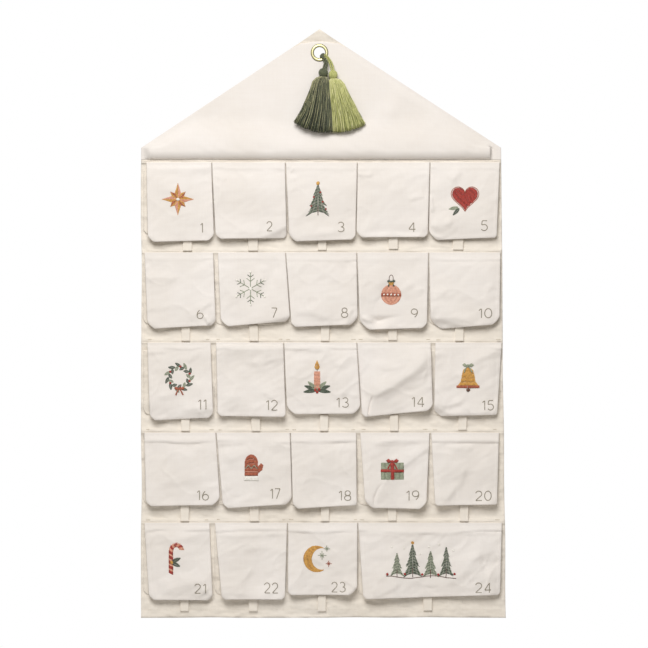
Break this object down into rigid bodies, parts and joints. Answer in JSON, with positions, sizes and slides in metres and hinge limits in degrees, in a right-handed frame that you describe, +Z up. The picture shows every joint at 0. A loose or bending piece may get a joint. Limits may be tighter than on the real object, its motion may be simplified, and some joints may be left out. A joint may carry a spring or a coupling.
{
  "type": "advent calendar",
  "caption": "House-shaped canvas wall hanging with rows of flapped, numbered pockets, a rod channel, a brass eyelet and two tassels.",
  "frame": {"origin": "centre of the hanging eyelet's bore, at the wall plane behind the roof hem", "axes": "+Z up, -Y is the front with the flaps, +X to the right seen from the front"},
  "size_m": [0.6, 0.0312, 0.9799],
  "materials": {
    "canvas": "plain-woven unbleached cotton canvas",
    "brass": "pale polished",
    "wood": "plain sanded",
    "dark_thread": "twisted viscose thread",
    "light_thread": "twisted viscose thread",
    "embroidery": "cotton embroidery thread"
  },
  "bodies": {
    "hanging": {"back_panel": "canvas", "header_front": "canvas", "dowel": "wood", "eyelet": "brass", "eyelet_washer": "brass", "tassel_anchor": "dark_thread", "pocket_01": "canvas", "pocket_02": "canvas", "pocket_03": "canvas", "pocket_04": "canvas", "pocket_05": "canvas", "pocket_06": "canvas", "pocket_07": "canvas", "pocket_08": "canvas", "pocket_09": "canvas", "pocket_10": "canvas", "pocket_11": "canvas", "pocket_12": "canvas", "pocket_13": "canvas", "pocket_14": "canvas", "pocket_15": "canvas", "pocket_16": "canvas", "pocket_17": "canvas", "pocket_18": "canvas", "pocket_19": "canvas", "pocket_20": "canvas", "pocket_21": "canvas", "pocket_22": "canvas", "pocket_23": "canvas", "pocket_24": "canvas"},
    "flap_01_body": {"flap_01": "canvas"},
    "flap_02_body": {"flap_02": "canvas"},
    "flap_03_body": {"flap_03": "canvas"},
    "flap_04_body": {"flap_04": "canvas"},
    "flap_05_body": {"flap_05": "canvas"},
    "flap_06_body": {"flap_06": "canvas"},
    "flap_07_body": {"flap_07": "canvas"},
    "flap_08_body": {"flap_08": "canvas"},
    "flap_09_body": {"flap_09": "canvas"},
    "flap_10_body": {"flap_10": "canvas"},
    "flap_11_body": {"flap_11": "canvas"},
    "flap_12_body": {"flap_12": "canvas"},
    "flap_13_body": {"flap_13": "canvas"},
    "flap_14_body": {"flap_14": "canvas"},
    "flap_15_body": {"flap_15": "canvas"},
    "flap_16_body": {"flap_16": "canvas"},
    "flap_17_body": {"flap_17": "canvas"},
    "flap_18_body": {"flap_18": "canvas"},
    "flap_19_body": {"flap_19": "canvas"},
    "flap_20_body": {"flap_20": "canvas"},
    "flap_21_body": {"flap_21": "canvas"},
    "flap_22_body": {"flap_22": "canvas"},
    "flap_23_body": {"flap_23": "canvas"},
    "flap_24_body": {"flap_24": "canvas"},
    "dark_tassel": {"dark_tassel_cord": "dark_thread", "dark_tassel_head": "dark_thread", "dark_tassel_skirt": "dark_thread"},
    "light_tassel": {"light_tassel_cord": "light_thread", "light_tassel_head": "light_thread", "light_tassel_skirt": "light_thread"}
  },
  "joints": [
    {"name": "flap_01_lift", "type": "hinge", "parent": "hanging", "child": "flap_01_body", "pos_m": [-0.2374, -0.0071, -0.1827], "axis": [-1, 0, 0], "range_deg": [0, 100]},
    {"name": "flap_02_lift", "type": "hinge", "parent": "hanging", "child": "flap_02_body", "pos_m": [-0.1187, -0.0071, -0.1827], "axis": [-1, 0, 0], "range_deg": [0, 100]},
    {"name": "flap_03_lift", "type": "hinge", "parent": "hanging", "child": "flap_03_body", "pos_m": [0, -0.0071, -0.1827], "axis": [-1, 0, 0], "range_deg": [0, 100]},
    {"name": "flap_04_lift", "type": "hinge", "parent": "hanging", "child": "flap_04_body", "pos_m": [0.1187, -0.0071, -0.1827], "axis": [-1, 0, 0], "range_deg": [0, 100]},
    {"name": "flap_05_lift", "type": "hinge", "parent": "hanging", "child": "flap_05_body", "pos_m": [0.2374, -0.0071, -0.1827], "axis": [-1, 0, 0], "range_deg": [0, 100]},
    {"name": "flap_06_lift", "type": "hinge", "parent": "hanging", "child": "flap_06_body", "pos_m": [-0.2374, -0.0071, -0.3327], "axis": [-1, 0, 0], "range_deg": [0, 100]},
    {"name": "flap_07_lift", "type": "hinge", "parent": "hanging", "child": "flap_07_body", "pos_m": [-0.1187, -0.0071, -0.3327], "axis": [-1, 0, 0], "range_deg": [0, 100]},
    {"name": "flap_08_lift", "type": "hinge", "parent": "hanging", "child": "flap_08_body", "pos_m": [0, -0.0071, -0.3327], "axis": [-1, 0, 0], "range_deg": [0, 100]},
    {"name": "flap_09_lift", "type": "hinge", "parent": "hanging", "child": "flap_09_body", "pos_m": [0.1187, -0.0071, -0.3327], "axis": [-1, 0, 0], "range_deg": [0, 100]},
    {"name": "flap_10_lift", "type": "hinge", "parent": "hanging", "child": "flap_10_body", "pos_m": [0.2374, -0.0071, -0.3327], "axis": [-1, 0, 0], "range_deg": [0, 100]},
    {"name": "flap_11_lift", "type": "hinge", "parent": "hanging", "child": "flap_11_body", "pos_m": [-0.2374, -0.0071, -0.4827], "axis": [-1, 0, 0], "range_deg": [0, 100]},
    {"name": "flap_12_lift", "type": "hinge", "parent": "hanging", "child": "flap_12_body", "pos_m": [-0.1187, -0.0071, -0.4827], "axis": [-1, 0, 0], "range_deg": [0, 100]},
    {"name": "flap_13_lift", "type": "hinge", "parent": "hanging", "child": "flap_13_body", "pos_m": [0, -0.0071, -0.4827], "axis": [-1, 0, 0], "range_deg": [0, 100]},
    {"name": "flap_14_lift", "type": "hinge", "parent": "hanging", "child": "flap_14_body", "pos_m": [0.1187, -0.0071, -0.4827], "axis": [-1, 0, 0], "range_deg": [0, 100]},
    {"name": "flap_15_lift", "type": "hinge", "parent": "hanging", "child": "flap_15_body", "pos_m": [0.2374, -0.0071, -0.4827], "axis": [-1, 0, 0], "range_deg": [0, 100]},
    {"name": "flap_16_lift", "type": "hinge", "parent": "hanging", "child": "flap_16_body", "pos_m": [-0.2374, -0.0071, -0.6327], "axis": [-1, 0, 0], "range_deg": [0, 100]},
    {"name": "flap_17_lift", "type": "hinge", "parent": "hanging", "child": "flap_17_body", "pos_m": [-0.1187, -0.0071, -0.6327], "axis": [-1, 0, 0], "range_deg": [0, 100]},
    {"name": "flap_18_lift", "type": "hinge", "parent": "hanging", "child": "flap_18_body", "pos_m": [0, -0.0071, -0.6327], "axis": [-1, 0, 0], "range_deg": [0, 100]},
    {"name": "flap_19_lift", "type": "hinge", "parent": "hanging", "child": "flap_19_body", "pos_m": [0.1187, -0.0071, -0.6327], "axis": [-1, 0, 0], "range_deg": [0, 100]},
    {"name": "flap_20_lift", "type": "hinge", "parent": "hanging", "child": "flap_20_body", "pos_m": [0.2374, -0.0071, -0.6327], "axis": [-1, 0, 0], "range_deg": [0, 100]},
    {"name": "flap_21_lift", "type": "hinge", "parent": "hanging", "child": "flap_21_body", "pos_m": [-0.2374, -0.0071, -0.7827], "axis": [-1, 0, 0], "range_deg": [0, 100]},
    {"name": "flap_22_lift", "type": "hinge", "parent": "hanging", "child": "flap_22_body", "pos_m": [-0.1187, -0.0071, -0.7827], "axis": [-1, 0, 0], "range_deg": [0, 100]},
    {"name": "flap_23_lift", "type": "hinge", "parent": "hanging", "child": "flap_23_body", "pos_m": [0, -0.0071, -0.7827], "axis": [-1, 0, 0], "range_deg": [0, 100]},
    {"name": "flap_24_lift", "type": "hinge", "parent": "hanging", "child": "flap_24_body", "pos_m": [0.17805, -0.0071, -0.7827], "axis": [-1, 0, 0], "range_deg": [0, 100]},
    {"name": "dark_tassel_swing", "type": "hinge", "parent": "hanging", "child": "dark_tassel", "pos_m": [0.00279, -0.0085, -0.00626], "axis": [0, 1, 0], "range_deg": [0, 30]},
    {"name": "light_tassel_swing", "type": "hinge", "parent": "hanging", "child": "light_tassel", "pos_m": [0.00626, -0.0085, -0.00279], "axis": [0, -1, 0], "range_deg": [0, 30]}
  ]
}
